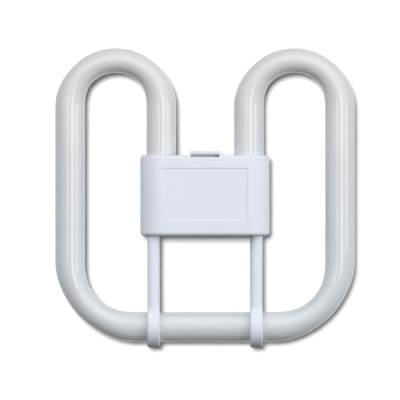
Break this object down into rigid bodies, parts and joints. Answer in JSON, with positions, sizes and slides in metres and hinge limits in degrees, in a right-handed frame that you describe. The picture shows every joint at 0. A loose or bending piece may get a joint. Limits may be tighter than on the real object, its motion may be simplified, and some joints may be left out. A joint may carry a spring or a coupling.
{
  "type": "square compact fluorescent lamp",
  "caption": "Flat square compact fluorescent lamp: a bent glass tube held by a white moulded base with clip legs in front and a recessed pin cap on its back.",
  "frame": {"origin": "midway between the contact pins, in the plane of the cap's rim, on which the lamp rests", "axes": "+X across the lamp along the cross run, +Y from the cross run towards the U-bends, +Z out of the front cover"},
  "size_m": [0.1376, 0.1374, 0.0275],
  "materials": {
    "opal_glass": "glossy glass with a white phosphor coat behind it, not see-through",
    "white_moulding": "satin, faintly bluish white moulding",
    "pin_brass": "turned, satin",
    "cement": "matt",
    "starter_glass": "clear",
    "capacitor_coat": "dipped",
    "copper_lead": "drawn wire",
    "ferrule": "tinned",
    "sleeve": "woven, matt"
  },
  "bodies": {
    "root": {"capacitor_lead_left": "copper_lead", "capacitor_lead_right": "copper_lead", "contact_pin_left": "pin_brass", "contact_pin_right": "pin_brass", "crimp_left": "ferrule", "crimp_right": "ferrule", "discharge_tube": "opal_glass", "feed_lead_left": "copper_lead", "feed_lead_right": "copper_lead", "feed_sleeve_left": "sleeve", "feed_sleeve_right": "sleeve", "front_cover": "white_moulding", "glow_starter": "starter_glass", "pin_lead_left": "copper_lead", "pin_lead_right": "copper_lead", "rear_base": "white_moulding", "starter_lead_left": "copper_lead", "starter_lead_right": "copper_lead", "suppression_capacitor": "capacitor_coat", "tube_cement_left": "cement", "tube_cement_right": "cement"}
  },
  "joints": []
}
